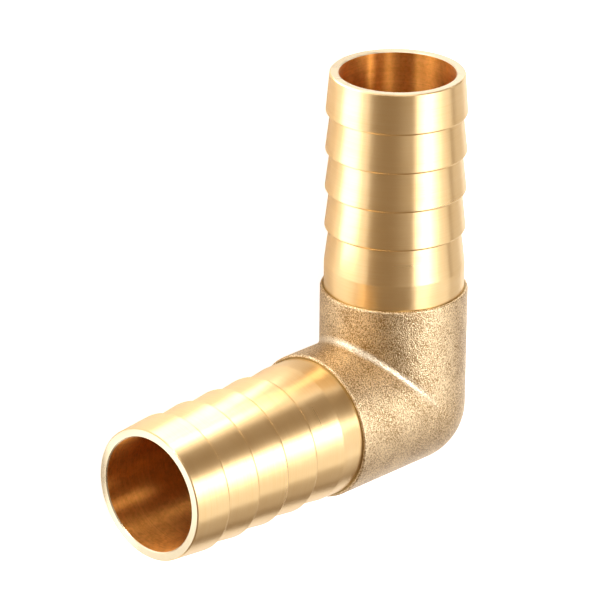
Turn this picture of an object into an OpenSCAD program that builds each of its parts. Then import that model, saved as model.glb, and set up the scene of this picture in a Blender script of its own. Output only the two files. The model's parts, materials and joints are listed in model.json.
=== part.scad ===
// A right-angled hose connector, cast in brass in one piece and turned on both arms.
// Two equal hose tails leave a plain round body at 90 degrees and share one cored passage.
// The origin is where the two bores cross. One tail runs along +X and the other along +Y.

/* [Passage] */
// Diameter of the bore through each tail and around the bend
bore_d = 21.8; // [16:0.1:24]

/* [Hose tails] */
// Wall at the open end, between the bore and the first taper
mouth_wall = 1.7; // [1.4:0.1:3]
// Rise of the first taper from the open end to its crest, on the radius
lead_rise = 0.6; // [0.3:0.05:1.2]
// Length of the first taper, from the open end to its crest
lead_l = 7.8; // [5:0.1:12]
// Height of the step behind each crest, on the radius
barb_step = 0.85; // [0.4:0.05:1.2]
// Distance from one crest to the next
barb_pitch = 7.6; // [5:0.1:12]
// Stepped crests on each tail
barb_count = 4; // [2:1:6]
// Length of the last taper, from the last crest's step to the neck
last_taper_l = 7; // [4:0.1:12]
// Straight neck between the last taper and the shoulder, where the hose ends
neck_l = 4.8; // [3:0.1:12]

/* [Body] */
// Step up from the neck to the cast body, on the radius
shoulder_step = 0.7; // [0.5:0.05:3]
// Distance from the crossing of the bores to each shoulder
shoulder_at = 22.2; // [20:0.1:40]
// Fullness of the heel, the outside of the bend, where 0 is a plain ball
heel_fullness = 0.15; // [0:0.01:0.3]

/* [Edges] */
// Rounding on each crest
crest_round = 0.4; // [0.1:0.05:0.5]
// Rounding on the outer edge of each shoulder
shoulder_round = 0.4; // [0.1:0.05:0.45]
// Chamfer on both edges of each open end
mouth_chamfer = 0.2; // [0.1:0.05:0.4]
// Cast fillet in the crease between the two arms
crease_r = 1.5; // [0.8:0.1:3]

/* [Hidden] */
$fn = 120;

bore_r = bore_d / 2;
mouth_r = bore_r + mouth_wall;
crest_r = mouth_r + lead_rise;
root_r = crest_r - barb_step;
neck_r = crest_r;
body_r = neck_r + shoulder_step;

neck_end = shoulder_at + neck_l;
last_crest = neck_end + last_taper_l;
first_crest = last_crest + (barb_count - 1) * barb_pitch;
mouth_at = first_crest + lead_l;

// The slope of a taper turns the end of a crest's rounding by this angle
taper_angle = atan(barb_step / (barb_pitch - crest_round));

edge_steps = 4;

// Each ball is this much smaller than the rounds that it joins, and the crease's fillet
// lies this deep in both arms, so that no two surfaces only touch
seat = 0.03;
fillet_steps = 24;
fillet_facets = 5;

// Points of an arc on a half section, where x is the radius and y runs along the arm
function arc(middle, radius, from, to) = [
    for (i = [0:edge_steps])
        let (turn = from + (to - from) * i / edge_steps)
        middle + radius * [cos(turn), sin(turn)]
];

// One barb, from its root behind the crest at this distance to the start of its taper
function barb(at) = concat(
    [[root_r, at]],
    arc([crest_r - crest_round, at + crest_round], crest_round, -90, taper_angle)
);

// The row of barbs, from the body towards the open end
function barbs() = [
    for (i = [0:barb_count - 1])
        each barb(last_crest + i * barb_pitch)
];

// Half section of one arm, from behind the crossing of the bores to the open end
module arm_section() {
    polygon(concat(
        [[0, -body_r / 2], [body_r, -body_r / 2]],
        arc([body_r - shoulder_round, shoulder_at - shoulder_round], shoulder_round, 0, 90),
        [[neck_r, shoulder_at], [neck_r, neck_end]],
        barbs(),
        [[mouth_r, mouth_at - mouth_chamfer], [mouth_r - mouth_chamfer, mouth_at], [0, mouth_at]]
    ));
}

// Half section of the bore with its chamfered mouth
module bore_section() {
    polygon([
        [0, 0],
        [bore_r, 0],
        [bore_r, mouth_at - mouth_chamfer],
        [bore_r + mouth_chamfer, mouth_at],
        [bore_r + mouth_chamfer, mouth_at + mouth_wall],
        [0, mouth_at + mouth_wall]
    ]);
}

// The bores of both arms, with a ball where they meet
module passage() {
    rotate([0, 90, 0]) rotate_extrude() bore_section();
    rotate([-90, 0, 0]) rotate_extrude() bore_section();
    sphere(r = bore_r - seat);
}

// One arm along X, cut off where it runs into the heel
module arm_outside() {
    size = 4 * mouth_at;
    difference() {
        rotate([0, 90, 0]) rotate_extrude() arm_section();
        rotate([0, 0, -atan(heel_fullness)])
            translate([-size, -size / 2, -size / 2])
                cube(size);
    }
}

// The heel is the outside of an oval ball, which follows the round of each arm all along its border
module heel() {
    rotate([0, 0, 45])
        scale([sqrt(1 + heel_fullness), sqrt(1 - heel_fullness), 1])
            sphere(r = body_r - seat);
}

// The fillet is what a ball leaves when it rolls along the crease and touches both arms.
// Seen from the crossing, the ball climbs by this angle above the plane of the arms.
function ball_middle(climb) =
    (body_r + crease_r - seat) * [cos(climb), cos(climb), sin(climb)];

// Angle at the ball's middle between its touching points on the two arms
function ball_span(climb) = acos(pow(sin(climb), 2));

// A point on the ball between its touching points, for a share from 0 to 1
function ball_point(climb, share) =
    let (span = ball_span(climb))
    let (to_one = [0, cos(climb), sin(climb)])
    let (to_other = [cos(climb), 0, sin(climb)])
    ball_middle(climb) - crease_r
        * (sin((1 - share) * span) * to_one + sin(share * span) * to_other) / sin(span);

// One ring of the fillet: its surface, then a point inside the wall
function fillet_ring(climb) = concat(
    [for (i = [0:fillet_facets]) ball_point(climb, i / fillet_facets)],
    [(bore_r + body_r) / 2 * [cos(climb), cos(climb), sin(climb)]]
);

module crease_fillet() {
    // The fillet sinks into the arms before it reaches the crown of the bend
    last_span = 2 * acos(1 - seat / (2 * crease_r));
    last_climb = asin(sqrt(cos(last_span)));
    side = fillet_facets + 2;
    points = [
        for (k = [0:fillet_steps])
            each fillet_ring(last_climb * (2 * k / fillet_steps - 1))
    ];
    skin = [
        for (k = [0:fillet_steps - 1])
            for (i = [0:side - 1])
                let (a = k * side + i)
                let (b = k * side + (i + 1) % side)
                each [[a, a + side, b], [b, a + side, b + side]]
    ];
    last = fillet_steps * side;
    first_end = [for (i = [1:side - 2]) [0, i, i + 1]];
    last_end = [for (i = [1:side - 2]) [last, last + i + 1, last + i]];
    polyhedron(points, concat(skin, first_end, last_end));
}

module elbow() {
    color("#c19a55")
    difference() {
        union() {
            arm_outside();
            mirror([1, -1, 0]) arm_outside();
            heel();
            crease_fillet();
        }
        passage();
    }
}

elbow();
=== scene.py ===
import json
import math
from collections import namedtuple

import bmesh
import bpy
from mathutils import Matrix, Vector

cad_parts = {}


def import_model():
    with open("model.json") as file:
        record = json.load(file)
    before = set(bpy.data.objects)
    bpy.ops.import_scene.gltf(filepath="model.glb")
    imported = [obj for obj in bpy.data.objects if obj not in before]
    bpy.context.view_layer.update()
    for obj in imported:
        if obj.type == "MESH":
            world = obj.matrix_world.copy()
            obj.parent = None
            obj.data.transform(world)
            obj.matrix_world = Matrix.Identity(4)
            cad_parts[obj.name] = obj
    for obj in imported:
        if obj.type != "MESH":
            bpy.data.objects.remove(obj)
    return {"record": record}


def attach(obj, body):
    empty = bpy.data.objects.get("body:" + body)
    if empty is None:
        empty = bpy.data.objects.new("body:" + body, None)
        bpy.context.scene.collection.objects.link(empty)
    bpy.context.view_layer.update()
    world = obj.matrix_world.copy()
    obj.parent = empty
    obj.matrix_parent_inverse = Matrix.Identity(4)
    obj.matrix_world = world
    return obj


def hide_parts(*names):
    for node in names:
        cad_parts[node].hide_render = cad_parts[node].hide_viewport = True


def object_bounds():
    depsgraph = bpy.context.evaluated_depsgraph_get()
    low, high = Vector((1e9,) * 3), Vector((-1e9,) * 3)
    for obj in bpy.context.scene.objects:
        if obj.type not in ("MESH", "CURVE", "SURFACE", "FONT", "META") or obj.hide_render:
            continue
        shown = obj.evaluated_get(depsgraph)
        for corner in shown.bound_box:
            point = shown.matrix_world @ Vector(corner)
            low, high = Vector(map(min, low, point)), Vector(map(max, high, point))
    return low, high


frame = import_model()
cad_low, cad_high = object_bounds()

MM = 0.001

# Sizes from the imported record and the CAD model's box
mounts = {mount["name"]: mount for mount in frame["record"]["mounts"]}
BORE_R = mounts["bore_x"]["dims"]["r_mm"] * MM
NECK_R = mounts["hose_seat_x"]["dims"]["r_mm"] * MM
NECK_L = mounts["hose_seat_x"]["dims"]["length_mm"] * MM
SHOULDER_AT = mounts["hose_seat_x"]["pos_m"][0] - NECK_L / 2
NECK_END = SHOULDER_AT + NECK_L
FLOOR_AT = cad_low.z
MOUTH_AT = cad_high.x

# Sizes of the turned tails, the same as in the part's source
CREST_R = NECK_R
LEAD_L = 7.8 * MM
LEAD_RISE = 0.6 * MM
MOUTH_R = CREST_R - LEAD_RISE
BARBS = 4
BARB_PITCH = 7.6 * MM
FIRST_CREST = MOUTH_AT - LEAD_L
BARB_STEP = 0.85 * MM
ROOT_R = CREST_R - BARB_STEP
CREST_ROUND = 0.4 * MM
SHOULDER_ROUND = 0.4 * MM
MOUTH_CHAMFER = 0.2 * MM
CHAMFER_AT = MOUTH_AT - MOUTH_CHAMFER

# Sizes of the cast bend. Its skin lies this much inside the solid, to stay in the CAD model's box.
CAST_SKIN = 0.005 * MM
BODY_R = -cad_low.z - CAST_SKIN
BODY_END = SHOULDER_AT - SHOULDER_ROUND
CREASE_R = 1.5 * MM
HEEL_FULLNESS = 0.15
# Rounding of the edge between the two bores, inside the passage
RIDGE_R = 0.4 * MM

# Steps of the mesh
TURNS = 320
TAPER_STEPS = 6
ROUND_STEPS = 5
BODY_STEPS = 8
BEND_STEPS = 24
BORE_STEPS = 12

# Each stretch has one more station close to each of its ends, to keep the shading even
NEAR_START, NEAR_END = 0.01, 0.99
FACE_INSET = 0.1 * MM

# Points nearer than this are one point, and arms that meet at less than this angle run straight on
WELD = 1e-7
LEAST_SPAN = 1e-6
# Edges that turn by more than this stay sharp, in degrees
SHARP_TURN = 35

# The finishes of the one piece
TURNED, CAST, PASSAGE, END_FACE, STEP_FACE = range(5)

# The two walls that run round the bend: their radius, the rounding of the edge between the arms,
# the fullness of the heel, and the end, steps and finish of their straight part
Wall = namedtuple("Wall", "radius edge fullness end steps finish")
BODY = Wall(BODY_R, CREASE_R, HEEL_FULLNESS, BODY_END, BODY_STEPS, CAST)
BORE = Wall(BORE_R, RIDGE_R, 0, CHAMFER_AT, BORE_STEPS, PASSAGE)

# Turning lines are noise in which the way across an arm counts only this much
ACROSS_LINES = 0.02

# The camera of the photograph: angles in degrees, lens in millimetres, distances in metres
CAMERA_AZIMUTH, CAMERA_ELEVATION, CAMERA_ROLL = 59.76, 39.46, 110.894
CAMERA_AIM = Vector((15.894, 7.275, -17.359)) * MM
CAMERA_DISTANCE = 0.88698
CAMERA_LENS = 280.76
SENSOR_WIDTH = 36
CLIP_START, CLIP_END = 0.05, 20

# Where the softboxes aim
LIGHT_AIM = Vector((0.02, 0.02, 0.0))
UPWARDS = (0, 0, 1)

# How much white of its own the floor shows to the camera, and how much to mirrored rays
SEEN_GLOW = 0.88
MIRRORED_GLOW = 0.20
FLOOR_HALF = 3.0

WARM_GREY = (0.28, 0.202, 0.138, 1)


def spread(first, last, steps):
    """Values from first to last, both included."""
    return [first + (last - first) * i / steps for i in range(steps + 1)]


def rounding(at, radius, size, start, end):
    """Stations round an edge; angles are measured from the radius towards the open end."""
    return [
        (at + size * math.sin(math.radians(a)), radius + size * math.cos(math.radians(a)))
        for a in spread(start, end, ROUND_STEPS)
    ]


def taper(start, end):
    """Stations along a straight stretch of the section, without its start and with its end."""
    (at_low, r_low), (at_high, r_high) = start, end
    inner = [NEAR_START] + [i / TAPER_STEPS for i in range(1, TAPER_STEPS)] + [NEAR_END]
    return [(at_low + (at_high - at_low) * s, r_low + (r_high - r_low) * s) for s in inner] + [end]


def turned_stations():
    """Stations over a tail's turned outside, from the shoulder to the chamfer of its open end."""
    slope = math.degrees(math.atan2(BARB_STEP, BARB_PITCH - CREST_ROUND))
    stations = [(SHOULDER_AT, NECK_R)]
    stations += taper(stations[-1], (NECK_END, NECK_R))
    for i in reversed(range(BARBS)):
        root_at = FIRST_CREST - i * BARB_PITCH
        stations += taper(stations[-1], (root_at, ROOT_R))
        crest = (root_at + CREST_ROUND, CREST_R - CREST_ROUND)
        stations += rounding(*crest, CREST_ROUND, -90, slope)
    return stations + taper(stations[-1], (CHAMFER_AT, MOUTH_R))


def tail_section():
    """Half section of a tail from the shoulder to the outer edge of its open end.

    Each station has its distance along the arm, its radius and the finish of the strip after it.
    """
    shoulder = rounding(BODY_END, BODY_R - SHOULDER_ROUND, SHOULDER_ROUND, 0, 90)
    finishes = [CAST] * (len(shoulder) - 1) + [STEP_FACE]
    return (
        [(at, radius, finish) for (at, radius), finish in zip(shoulder, finishes)]
        + [(at, radius, TURNED) for at, radius in turned_stations()]
        + [(MOUTH_AT, MOUTH_R - MOUTH_CHAMFER, END_FACE)]
    )


def mouth_section():
    """Stations over the open end's face and into the bore."""
    outer, inner = MOUTH_R - MOUTH_CHAMFER, BORE_R + MOUTH_CHAMFER
    return [
        (MOUTH_AT, outer - FACE_INSET, END_FACE),
        (MOUTH_AT, inner + FACE_INSET, END_FACE),
        (MOUTH_AT, inner, END_FACE),
        (CHAMFER_AT, BORE_R, PASSAGE),
    ]


def backwards(stations):
    """The stations in reverse order, each with the finish of the strip that then follows it."""
    finishes = [finish for _, _, finish in stations]
    following = finishes[-2::-1] + finishes[:1]
    return [(at, radius, finish) for (at, radius, _), finish in zip(stations[::-1], following)]


def on_arm(arm, at, radius, turn):
    """A point at this distance along an arm; turn is measured from the inside of the bend."""
    across, up = radius * math.cos(turn), radius * math.sin(turn)
    if arm == "x":
        return Vector((at, across, up))
    return Vector((across, at, up))


def heel_point(wall, turn, share):
    """A point on the outside of the bend, where it follows the oval ball of the heel."""
    reach = wall.radius * math.cos(turn)
    long, short = math.sqrt(1 + wall.fullness), math.sqrt(1 - wall.fullness)
    swing = (2 * share - 1) * math.atan2(short, long)
    out = reach * long * math.cos(swing) / math.sqrt(2)
    side = reach * short * math.sin(swing) / math.sqrt(2)
    return Vector((out + side, out - side, wall.radius * math.sin(turn)))


def crease_point(wall, turn, share):
    """A point on the inside of the bend, where it follows a ball that touches both arms."""
    c, s = math.cos(turn), math.sin(turn)
    span = math.acos(min(s * s, 1.0))
    if span < LEAST_SPAN:
        return Vector((0.0, 0.0, math.copysign(wall.radius, s)))
    middle = (wall.radius + wall.edge) * Vector((c, c, s))
    to_x, to_y = Vector((0.0, c, s)), Vector((c, 0.0, s))
    way = (math.sin((1 - share) * span) * to_x + math.sin(share * span) * to_y) / math.sin(span)
    return middle - wall.edge * way


def bend(wall, turn, first, last):
    """A wall's points round the bend, where share 0 is at the x arm and 1 at the y arm."""
    point = heel_point if math.cos(turn) <= 0 else crease_point
    return [(point(wall, turn, share), wall.finish) for share in spread(first, last, BEND_STEPS)]


def straight(arm, wall, turn):
    """A wall's points along an arm, from the bend outwards, without the first and the last."""
    c = math.cos(turn)
    start = (wall.radius + wall.edge) * c if c > 0 else wall.radius * wall.fullness * c
    ats = spread(start, wall.end, wall.steps)[1:-1]
    return [(on_arm(arm, at, wall.radius, turn), wall.finish) for at in ats]


def section(arm, stations, turn):
    """The points of a half section on an arm."""
    return [(on_arm(arm, at, radius, turn), finish) for at, radius, finish in stations]


def loop_at(turn, tail, mouth):
    """One closed line over the whole wall, with the finish of the strip that follows each point."""
    return (
        section("x", backwards(tail), turn)
        + straight("x", BODY, turn)[::-1]
        + bend(BODY, turn, 0, 1)
        + straight("y", BODY, turn)
        + section("y", tail, turn)
        + section("y", mouth, turn)
        + straight("y", BORE, turn)[::-1]
        + bend(BORE, turn, 1, 0)
        + straight("x", BORE, turn)
        + section("x", backwards(mouth), turn)
    )


def joined(items):
    """Each item with the one after it, and the last with the first."""
    return zip(items, items[1:] + items[:1])


def add_wall(mesh):
    """Closed lines over the wall, one at each turn, joined by strips of faces."""
    tail, mouth = tail_section(), mouth_section()
    loops = []
    for i in range(TURNS):
        line = loop_at(2 * math.pi * i / TURNS, tail, mouth)
        loops.append([(mesh.verts.new(place), finish) for place, finish in line])
    for this, other in joined(loops):
        for ((a, finish), (b, _)), ((d, _), (c, _)) in zip(joined(this), joined(other)):
            face = mesh.faces.new((a, b, c, d))
            face.material_index = finish
            face.smooth = True


def elbow_mesh():
    """The whole wall, welded where its lines meet."""
    mesh = bmesh.new()
    add_wall(mesh)
    bmesh.ops.remove_doubles(mesh, verts=mesh.verts, dist=WELD)
    bmesh.ops.dissolve_degenerate(mesh, edges=mesh.edges, dist=WELD)
    bmesh.ops.recalc_face_normals(mesh, faces=mesh.faces)
    data = bpy.data.meshes.new("elbow_wall")
    mesh.to_mesh(data)
    mesh.free()
    data.set_sharp_from_angle(angle=math.radians(SHARP_TURN))
    return data


class Nodes:
    """A material's node tree, with short calls for the nodes that the finishes share."""

    def __init__(self, name):
        self.material = bpy.data.materials.new(name)
        self.material.use_nodes = True
        self.tree = self.material.node_tree
        self.shader = self.tree.nodes["Principled BSDF"]

    def feed(self, socket, value):
        if isinstance(value, bpy.types.NodeSocket):
            self.tree.links.new(value, socket)
        else:
            socket.default_value = value

    def add(self, kind, output, inputs, **settings):
        node = self.tree.nodes.new(kind)
        for key, value in settings.items():
            setattr(node, key, value)
        for key, value in inputs.items():
            self.feed(node.inputs[key], value)
        return node.outputs[output]

    def place(self):
        """Place on the piece, in metres."""
        return self.add("ShaderNodeTexCoord", "Object", {})

    def split(self, place):
        """The x, y and z of a place."""
        node = self.tree.nodes.new("ShaderNodeSeparateXYZ")
        self.feed(node.inputs[0], place)
        return node.outputs

    def combine(self, x, y, z):
        return self.add("ShaderNodeCombineXYZ", 0, {0: x, 1: y, 2: z})

    def math(self, operation, *values):
        return self.add("ShaderNodeMath", 0, dict(enumerate(values)), operation=operation)

    def times(self, one, other):
        return self.math("MULTIPLY", one, other)

    def weigh(self, one, weight, other, other_weight):
        """Two values added up, each times its weight."""
        return self.math("ADD", self.times(one, weight), self.times(other, other_weight))

    def noise(self, place, scale, detail=2.0, roughness=0.5):
        inputs = {"Vector": place, "Scale": scale, "Detail": detail, "Roughness": roughness}
        return self.add("ShaderNodeTexNoise", 0, inputs)

    def map(self, value, span, to):
        """A value carried over from one span to another, and held at its ends."""
        return self.add("ShaderNodeMapRange", 0, dict(enumerate((value, *span, *to))))

    def blend(self, share, one, other):
        """One colour at share 0 and the other at share 1."""
        node = self.tree.nodes.new("ShaderNodeMix")
        node.data_type = "RGBA"
        for key, value in {0: share, 6: one, 7: other}.items():
            self.feed(node.inputs[key], value)
        return node.outputs[2]

    def bump(self, height, depth):
        inputs = {"Height": height, "Distance": depth, "Strength": 1.0}
        return self.add("ShaderNodeBump", 0, inputs)

    def finish(self, **inputs):
        for key, value in inputs.items():
            self.feed(self.shader.inputs[key.replace("_", " ")], value)
        return self.material


def tint(r, g, b):
    return (r, g, b, 1.0)


def turning(nodes, place):
    """The place drawn out round the arm, as turning lines run, and the arm's own direction."""
    x, y, z = nodes.split(place)
    on_x = nodes.math("GREATER_THAN", x, y)
    on_y = nodes.math("SUBTRACT", 1.0, on_x)
    along, across = nodes.math("MAXIMUM", x, y), nodes.math("MINIMUM", x, y)
    lines = nodes.combine(along, nodes.times(across, ACROSS_LINES), nodes.times(z, ACROSS_LINES))
    return lines, nodes.combine(on_x, on_y, 0.0)


def turned_brass():
    """Both tails, turned bright."""
    dark, light = tint(0.93, 0.67, 0.33), tint(0.97, 0.73, 0.40)
    nodes = Nodes("turned_brass")
    place = nodes.place()
    lines, direction = turning(nodes, place)
    fine = nodes.noise(lines, scale=5200, detail=3, roughness=0.6)
    broad = nodes.noise(lines, scale=700)
    cloud = nodes.noise(place, scale=130)
    share = nodes.map(nodes.weigh(fine, 0.6, cloud, 0.4), (0.35, 0.65), (0, 1))
    return nodes.finish(
        Base_Color=nodes.blend(share, dark, light),
        Metallic=1.0,
        Roughness=nodes.map(broad, (0.3, 0.7), (0.27, 0.31)),
        Anisotropic=0.5,
        Tangent=direction,
        Normal=nodes.bump(fine, depth=0.0005 * MM),
    )


def crease_share(nodes, place):
    """1 in the middle of the crease's fillet, else 0: there the grain is flattened, as on a
    smoother casting, and the colour is lightened into a painted highlight.
    """
    fade, start = (0.15 * CREASE_R, 0.95 * CREASE_R), (0.2 * BODY_R, 0.9 * BODY_R)
    x, y, _ = nodes.split(place)
    off = nodes.math("ABSOLUTE", nodes.math("SUBTRACT", x, y))
    near = nodes.map(off, fade, (1, 0))
    inside = nodes.map(nodes.math("ADD", x, y), start, (0, 1))
    return nodes.times(near, inside)


def cast_brass():
    """The bend, with its skin as cast: a fine grain over shallow pits and broad waves, and a
    highlight painted along the crease.
    """
    # The third tint, smooth, is a pale painted highlight laid along the crease, not a colour of the
    # casting
    dark, light, smooth = tint(0.42, 0.265, 0.12), tint(1.0, 0.81, 0.53), tint(1.0, 0.88, 0.68)
    nodes = Nodes("cast_brass")
    place = nodes.place()
    crease = crease_share(nodes, place)
    grain = nodes.noise(place, scale=4200, detail=1.5, roughness=0.6)
    pits = nodes.noise(place, scale=900)
    waves = nodes.noise(place, scale=190)
    share = nodes.map(nodes.weigh(grain, 0.8, waves, 0.2), (0.42, 0.57), (0, 1))
    skin = nodes.blend(share, dark, light)
    # Share of the painted highlight in the crease, strongest where the grain is light
    painted_highlight_share = nodes.times(crease, nodes.map(share, (0, 1), (0.4, 0.95)))
    flattened = nodes.map(crease, (0, 1), (1, 0.8))
    height = nodes.times(nodes.weigh(grain, 1.0, pits, 0.4), flattened)
    return nodes.finish(
        Base_Color=nodes.blend(painted_highlight_share, skin, smooth),
        Metallic=1.0,
        Roughness=nodes.map(waves, (0.3, 0.7), (0.28, 0.36)),
        Normal=nodes.bump(height, depth=0.13 * MM),
    )


def passage_brass():
    """The bores, duller than the outside and with lines round them, in a deeper, darker orange that
    paints in the shade and the brass-on-brass reflections inside them.
    """
    # Both tints carry painted shade and painted brass-on-brass reflection of the bore
    dark, light = tint(0.72, 0.29, 0.055), tint(0.88, 0.38, 0.09)
    nodes = Nodes("passage_brass")
    place = nodes.place()
    lines, direction = turning(nodes, place)
    fine = nodes.noise(lines, scale=3000, detail=3, roughness=0.6)
    grain = nodes.noise(place, scale=1700, detail=3, roughness=0.6)
    share = nodes.map(nodes.weigh(fine, 0.4, grain, 0.6), (0.4, 0.6), (0, 1))
    return nodes.finish(
        Base_Color=nodes.blend(share, dark, light),
        Metallic=1.0,
        Roughness=nodes.map(grain, (0.42, 0.6), (0.44, 0.56)),
        Anisotropic=1.0,
        Tangent=direction,
        Normal=nodes.bump(nodes.weigh(fine, 0.5, grain, 1.0), depth=0.012 * MM),
    )


def faced_brass(name, dark, light, cloud_scale, roughness, depth):
    """A narrow face cut square to the arm."""
    nodes = Nodes(name)
    place = nodes.place()
    cloud = nodes.noise(place, scale=cloud_scale)
    return nodes.finish(
        Base_Color=nodes.blend(cloud, dark, light),
        Metallic=1.0,
        Roughness=nodes.map(cloud, (0.3, 0.7), roughness),
        Normal=nodes.bump(nodes.noise(place, scale=2600), depth=depth),
    )


def end_face_brass():
    """The faces of the open ends, in a paler brass than the tails: a painted sheen on the flat
    faces.
    """
    return faced_brass(
        "end_face_brass",
        # Paler than the turned brass, as a painted sheen on the faces
        dark=tint(0.78, 0.68, 0.48),
        light=tint(0.88, 0.78, 0.56),
        cloud_scale=500,
        roughness=(0.26, 0.36),
        depth=0.004 * MM,
    )


def step_face_brass():
    """The faces of the shoulders, duller, and darker with painted shade where each neck meets the
    bend.
    """
    return faced_brass(
        "step_face_brass",
        # Both tints are painted shade in the step at the foot of the neck
        dark=tint(0.30, 0.21, 0.09),
        light=tint(0.50, 0.36, 0.16),
        cloud_scale=900,
        roughness=(0.42, 0.55),
        depth=0.01 * MM,
    )


def put(name, data):
    """A new object in the scene."""
    holder = bpy.data.objects.new(name, data)
    bpy.context.scene.collection.objects.link(holder)
    return holder


def elbow():
    piece = put("elbow_brass", elbow_mesh())
    # In the order of the finishes' numbers
    for finish in (turned_brass, cast_brass, passage_brass, end_face_brass, step_face_brass):
        piece.data.materials.append(finish())
    piece.modifiers.new("even_shading", "WEIGHTED_NORMAL").keep_sharp = True
    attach(piece, "root")
    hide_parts("elbow")


def placed(at, right, up, back):
    """The matrix of an object at a point, with its own axes along these directions."""
    return Matrix.Translation(at) @ Matrix((right, up, back)).transposed().to_4x4()


def view_axes(azimuth, elevation, roll):
    """The camera's right, up and back directions."""
    az, el, ro = (math.radians(a) for a in (azimuth, elevation, roll))
    back = Vector((math.cos(el) * math.cos(az), math.cos(el) * math.sin(az), math.sin(el)))
    level = Vector((-math.sin(az), math.cos(az), 0))
    right = math.cos(ro) * level + math.sin(ro) * back.cross(level)
    return right, back.cross(right), back


def camera():
    right, up, back = view_axes(CAMERA_AZIMUTH, CAMERA_ELEVATION, CAMERA_ROLL)
    data = bpy.data.cameras.new("camera")
    data.lens = CAMERA_LENS
    data.sensor_width = SENSOR_WIDTH
    data.clip_start = CLIP_START
    data.clip_end = CLIP_END
    holder = put("camera", data)
    holder.matrix_world = placed(CAMERA_AIM + back * CAMERA_DISTANCE, right, up, back)
    bpy.context.scene.camera = holder


def world():
    """A plain warm grey, the same for all rays."""
    studio = bpy.data.worlds.new("studio")
    bpy.context.scene.world = studio
    studio.use_nodes = True
    background = studio.node_tree.nodes["Background"]
    background.inputs["Color"].default_value = WARM_GREY
    background.inputs["Strength"].default_value = 1


def white_floor():
    """White paper that also glows, so that it reads as white to the camera and in mirrored rays."""
    nodes = Nodes("white_floor")
    rays = nodes.tree.nodes.new("ShaderNodeLightPath").outputs
    seen = nodes.times(rays["Is Camera Ray"], SEEN_GLOW)
    mirrored = nodes.math("MAXIMUM", rays["Is Glossy Ray"], rays["Is Transmission Ray"])
    mirrored = nodes.times(mirrored, MIRRORED_GLOW)
    return nodes.finish(
        Base_Color=tint(0.85, 0.85, 0.85),
        Roughness=0.9,
        Specular_IOR_Level=0.0,
        Emission_Color=tint(1, 1, 1),
        Emission_Strength=nodes.math("MAXIMUM", seen, mirrored),
    )


def floor():
    data = bpy.data.meshes.new("floor")
    signs = ((-1, -1), (1, -1), (1, 1), (-1, 1))
    corners = [(x * FLOOR_HALF, y * FLOOR_HALF, FLOOR_AT) for x, y in signs]
    data.from_pydata(corners, [], [(0, 1, 2, 3)])
    data.materials.append(white_floor())
    holder = put("floor", data)


def softbox(name, offset, along, width, height, level, facing=None):
    """An area light at an offset from LIGHT_AIM, which it faces unless told otherwise.

    Its height lies along a direction, and its level is its brightness as a multiple of white.
    """
    back = -Vector(facing) if facing else Vector(offset).normalized()
    along = Vector(along)
    up = (along - back * along.dot(back)).normalized()
    light = bpy.data.lights.new(name, "AREA")
    light.shape = "RECTANGLE"
    light.size = width
    light.size_y = height
    light.energy = level * math.pi * width * height
    holder = put(name, light)
    holder.matrix_world = placed(LIGHT_AIM + Vector(offset), up.cross(back), up, back)
    holder.visible_camera = False


def card(name, offset, width, height, level):
    """A small softbox that lies just above the floor and shines up at the part's underside."""
    softbox(name, offset, (1, 0, 0), width, height, level, facing=UPWARDS)


def lamps():
    # Bright ones, for the highlights
    softbox("key_softbox", (-0.006, -0.135, 0.60), (0.53, -0.85, 0), 0.19, 0.68, 3.8)
    softbox("front_softbox", (0.33, 0.36, 0.66), UPWARDS, 0.18, 0.20, 9.5)
    softbox("over_softbox", (0.25, -0.115, 0.72), (1, 0, 0), 0.11, 0.20, 22.0)
    softbox("low_softbox", (0.22, 0.34, 0.004), UPWARDS, 0.14, 0.032, 14.0)
    # Large and soft ones, for the even light all round
    softbox("ceiling_softbox", (-0.32, -0.38, 0.70), (0, 1, 0), 0.50, 0.80, 0.74)
    softbox("side_softbox", (-0.62, -0.40, 0.45), (0, 1, 0), 0.50, 0.60, 0.25)
    softbox("back_softbox", (-0.18, -0.58, 0.16), UPWARDS, 0.60, 0.34, 0.5)
    softbox("right_softbox", (0.40, 0.10, 0.22), UPWARDS, 0.30, 0.20, 0.9)
    # Low ones, for the sides that face the floor
    softbox("near_softbox", (0.30, -0.17, 0.045), UPWARDS, 0.30, 0.105, 1.05)
    softbox("near_card", (0.168, -0.062, 0.002), UPWARDS, 0.18, 0.036, 3.4)
    card("corner_card", (0.0245, 0.018, -0.0135), 0.034, 0.036, 1.75)
    card("mouth_card", (0.066, -0.004, -0.0135), 0.022, 0.036, 3.4)
    card("end_card", (-0.026, 0.062, -0.0135), 0.030, 0.024, 0.9)


bpy.context.scene.view_settings.view_transform = "Standard"
camera()
world()
floor()
lamps()
elbow()
